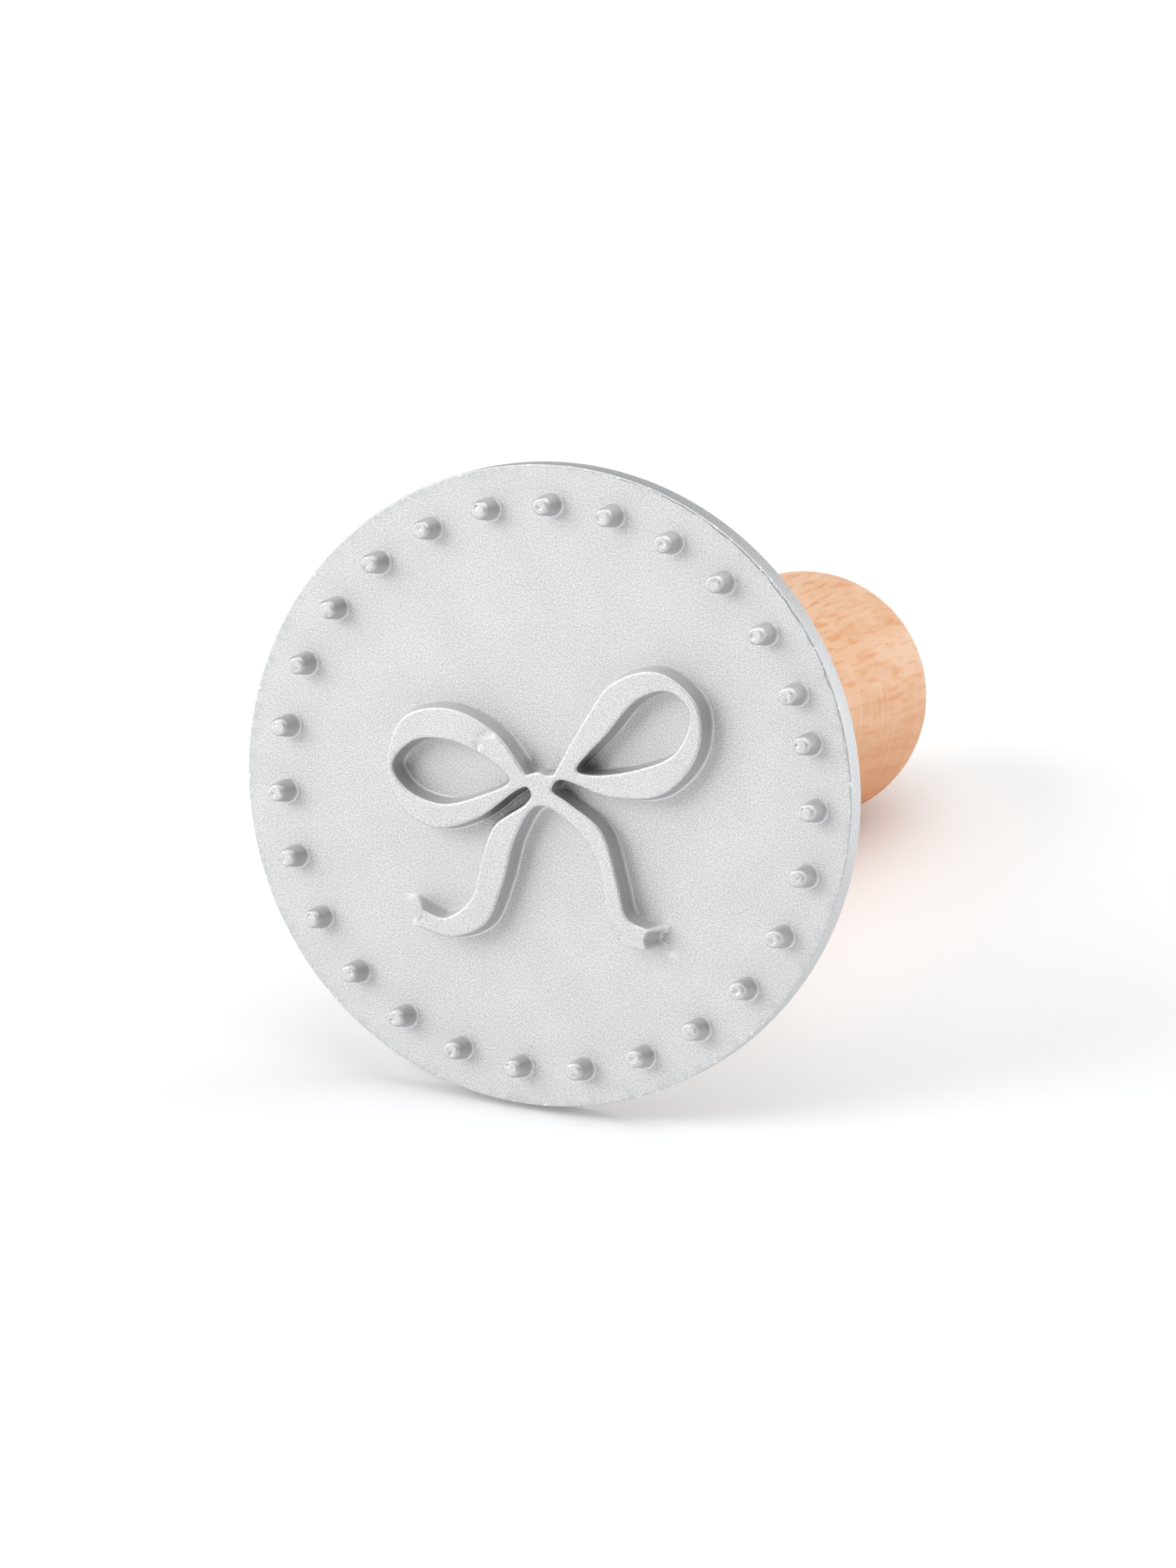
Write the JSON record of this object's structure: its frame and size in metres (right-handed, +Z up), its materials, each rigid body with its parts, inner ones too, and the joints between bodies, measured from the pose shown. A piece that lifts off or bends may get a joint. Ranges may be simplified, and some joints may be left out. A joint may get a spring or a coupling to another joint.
{
  "type": "cookie stamp",
  "caption": "Round cast metal cookie stamp with a raised ribbon bow inside a border of studs, screwed to a turned wooden handle and lying on its side.",
  "frame": {"origin": "on the floor under the middle of the stamp's box, as it lies on its rim and on the handle's round end", "axes": "+Z up from the floor; +Y from the stamping face towards the handle's end; +X to the right as the face is seen"},
  "size_m": [0.07, 0.1008, 0.0683],
  "materials": {
    "cast_aluminium": "matte, blasted face with smooth relief walls and rim",
    "zinc_plated_steel": "zinc plated",
    "beech": "turned and lightly oiled, satin"
  },
  "bodies": {
    "grip": {"handle": "beech", "threaded_stud": "zinc_plated_steel"},
    "loose_washer": {"washer": "zinc_plated_steel"},
    "plate": {"stamp_plate": "cast_aluminium"}
  },
  "joints": [
    {"name": "washer_slide", "type": "slide", "parent": "grip", "child": "loose_washer", "axis": [0, -0.9673, 0.2535], "range_m": [0, 0.00813]},
    {"name": "plate_screw", "type": "hinge", "parent": "loose_washer", "child": "plate", "pos_m": [0, -0.03994, 0.03451], "axis": [0, -0.9673, 0.2535], "range_deg": [0, 2340]}
  ],
  "couplings": [
    {"joint": "washer_slide", "follows": "plate_screw", "m_per_rad": 0.00019894}
  ]
}
